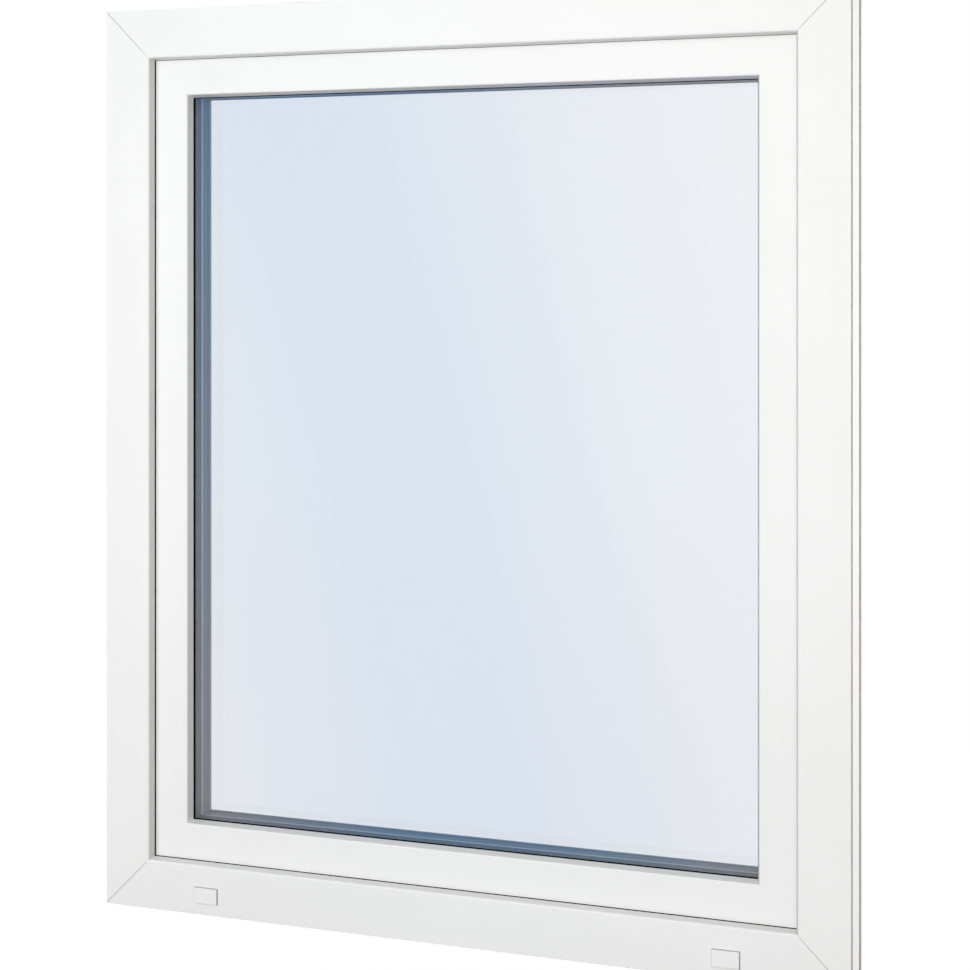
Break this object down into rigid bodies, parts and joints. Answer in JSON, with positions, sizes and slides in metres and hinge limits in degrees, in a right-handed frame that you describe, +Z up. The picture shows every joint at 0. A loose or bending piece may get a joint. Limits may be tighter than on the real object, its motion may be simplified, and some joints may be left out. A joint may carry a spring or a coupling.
{
  "type": "tilt and turn window",
  "caption": "White uPVC tilt and turn window with a mitred frame and sash, triple glazing, drain caps, handle and side hinges.",
  "frame": {"origin": "middle of the frame's bottom face, half way through the frame's depth", "axes": "+X to the right as seen from outside, +Y from outside into the room, +Z up"},
  "size_m": [1, 0.1525, 1.2],
  "materials": {
    "frame_plastic": "satin white uPVC",
    "sash_plastic": "satin white uPVC",
    "bead_plastic": "satin white uPVC",
    "black_gasket": "matt black extruded rubber",
    "glass_pane": "clear coated float glass",
    "spacer_bar": "satin grey warm-edge spacer",
    "edge_sealant": "matt black sealant",
    "packer_plastic": "matt blue plastic",
    "cap_plastic": "satin white moulding",
    "handle_metal": "satin white powder coat",
    "hinge_metal": "satin white powder coat"
  },
  "bodies": {
    "root": {"frame_sill": "frame_plastic", "frame_head": "frame_plastic", "frame_jamb_left": "frame_plastic", "frame_jamb_right": "frame_plastic", "sash_bottom_rail": "sash_plastic", "sash_top_rail": "sash_plastic", "sash_stile_left": "sash_plastic", "sash_stile_right": "sash_plastic", "bead_bottom": "bead_plastic", "bead_top": "bead_plastic", "bead_left": "bead_plastic", "bead_right": "bead_plastic", "glass_outer": "glass_pane", "glass_middle": "glass_pane", "glass_inner": "glass_pane", "spacer_outer": "spacer_bar", "spacer_inner": "spacer_bar", "edge_seal_outer": "edge_sealant", "edge_seal_inner": "edge_sealant", "glazing_packers": "packer_plastic", "frame_gasket": "black_gasket", "sash_gasket": "black_gasket", "glazing_gasket_outer": "black_gasket", "glazing_gasket_inner": "black_gasket", "drain_cap_left": "cap_plastic", "drain_cap_right": "cap_plastic", "handle_rose": "handle_metal", "handle_lever": "handle_metal", "lower_hinge_bracket": "hinge_metal", "lower_hinge_barrel": "hinge_metal", "upper_hinge_bracket": "hinge_metal", "upper_hinge_barrel": "hinge_metal"}
  },
  "joints": []
}
